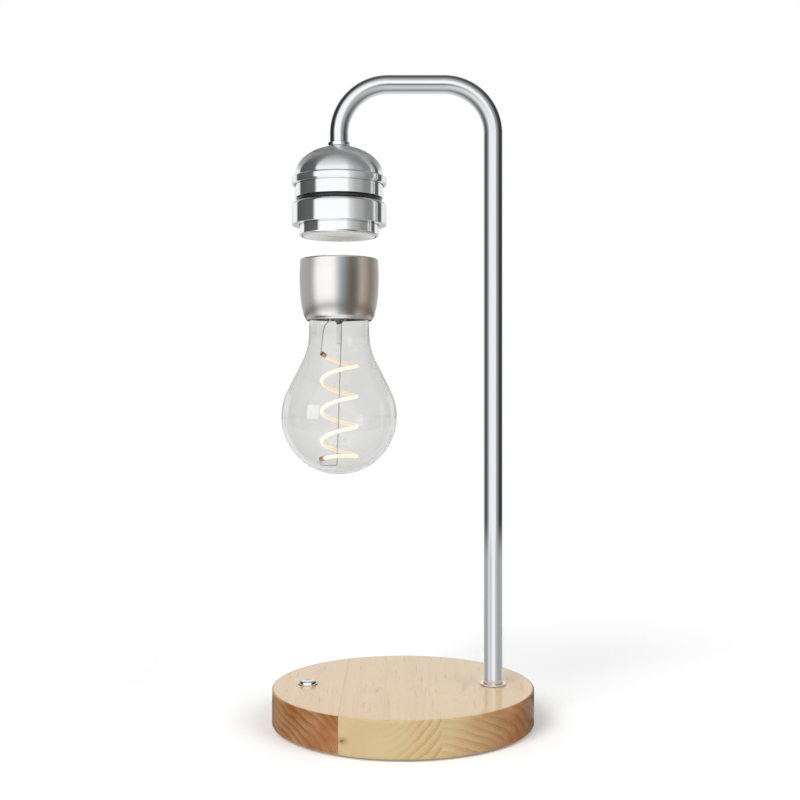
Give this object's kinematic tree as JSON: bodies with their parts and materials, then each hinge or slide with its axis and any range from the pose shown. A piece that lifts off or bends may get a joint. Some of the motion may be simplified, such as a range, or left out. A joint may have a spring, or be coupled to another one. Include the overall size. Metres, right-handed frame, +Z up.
{
  "type": "levitating table lamp",
  "caption": "Table lamp: round wooden base with push button, bent steel tube, bell-shaped magnet head, and a bulb with spiral filament that floats and spins below it.",
  "frame": {"origin": "middle of the round base on the surface that its feet stand on", "axes": "+X from the head towards the post, +Y away from the viewer, +Z up"},
  "size_m": [0.138, 0.138, 0.3426],
  "materials": {
    "wood": "clear satin lacquer on pale glued staves",
    "plate_steel": "plain sheet steel",
    "fastener_steel": "zinc-plated",
    "chrome": "mirror polished",
    "tube_steel": "polished",
    "satin_aluminium": "satin",
    "black_rubber": "matte",
    "white_plastic": "fine satin",
    "nylon": "moulded",
    "black_plastic": "moulded",
    "circuit_board": "solder mask",
    "copper": "enamelled",
    "soft_iron": "turned",
    "magnet": "nickel-plated",
    "clear_glass": "clear, blown",
    "wire": "drawn wire",
    "filament_phosphor": "lit phosphor",
    "brass": "plain",
    "lead_cover": "insulated lead",
    "cable_cover": "insulated cable"
  },
  "bodies": {
    "stand": {"wood_base": "wood", "base_plate": "plate_steel", "plate_screw_1": "fastener_steel", "plate_screw_2": "fastener_steel", "plate_screw_3": "fastener_steel", "rubber_foot_1": "black_rubber", "rubber_foot_2": "black_rubber", "rubber_foot_3": "black_rubber", "rubber_foot_4": "black_rubber", "power_board": "circuit_board", "board_spacer": "nylon", "board_screw": "fastener_steel", "dc_inlet": "black_plastic", "button_holder": "nylon", "button_switch": "black_plastic", "switch_board": "circuit_board", "switch_screw_1": "fastener_steel", "switch_screw_2": "fastener_steel", "switch_lead": "lead_cover", "arm_tube": "tube_steel", "post_flange": "chrome", "post_washer": "fastener_steel", "post_nut": "fastener_steel", "arm_cable": "cable_cover", "head_collar": "chrome", "head_dome": "chrome", "head_washer": "fastener_steel", "head_lock_nut": "fastener_steel", "head_barrel": "chrome", "head_ring": "black_rubber", "head_band": "chrome", "head_cup": "chrome", "head_disc": "white_plastic", "head_screw_1": "fastener_steel", "head_screw_2": "fastener_steel", "head_screw_3": "fastener_steel", "coil_bobbin": "nylon", "levitation_coil": "copper", "coil_core": "soft_iron", "core_screw": "fastener_steel", "chassis_plate": "plate_steel", "sensor_board": "circuit_board", "transmitter_coil": "copper", "driver_board": "circuit_board"},
    "button": {"button_cap": "chrome", "button_clip": "fastener_steel", "button_spring": "fastener_steel"},
    "field_magnet": {"bulb_magnet": "magnet"},
    "bulb": {"magnet_holder": "nylon", "bulb_cap": "satin_aluminium", "cap_lid": "white_plastic", "receiver_coil": "copper", "receiver_board": "circuit_board", "glass_envelope": "clear_glass", "glass_stem": "clear_glass", "centre_wire": "wire", "lead_wire": "wire", "filament": "filament_phosphor", "filament_clip_top": "brass", "filament_clip_bottom": "brass"}
  },
  "joints": [
    {"name": "button_press", "type": "slide", "parent": "stand", "child": "button", "axis": [0, 0, -1], "range_m": [0, 0.0008], "stiffness_N_per_m": 400, "springref_m": -0.001, "deforming": ["button_spring"]},
    {"name": "bulb_lift", "type": "slide", "parent": "stand", "child": "field_magnet", "axis": [0, 0, 1], "range_m": [-0.11, 0.0114], "stiffness_N_per_m": 100, "springref_m": 0.00789},
    {"name": "bulb_spin", "type": "hinge", "parent": "field_magnet", "child": "bulb", "pos_m": [-0.0338, 0, 0.2], "axis": [0, 0, 1], "continuous": true}
  ]
}
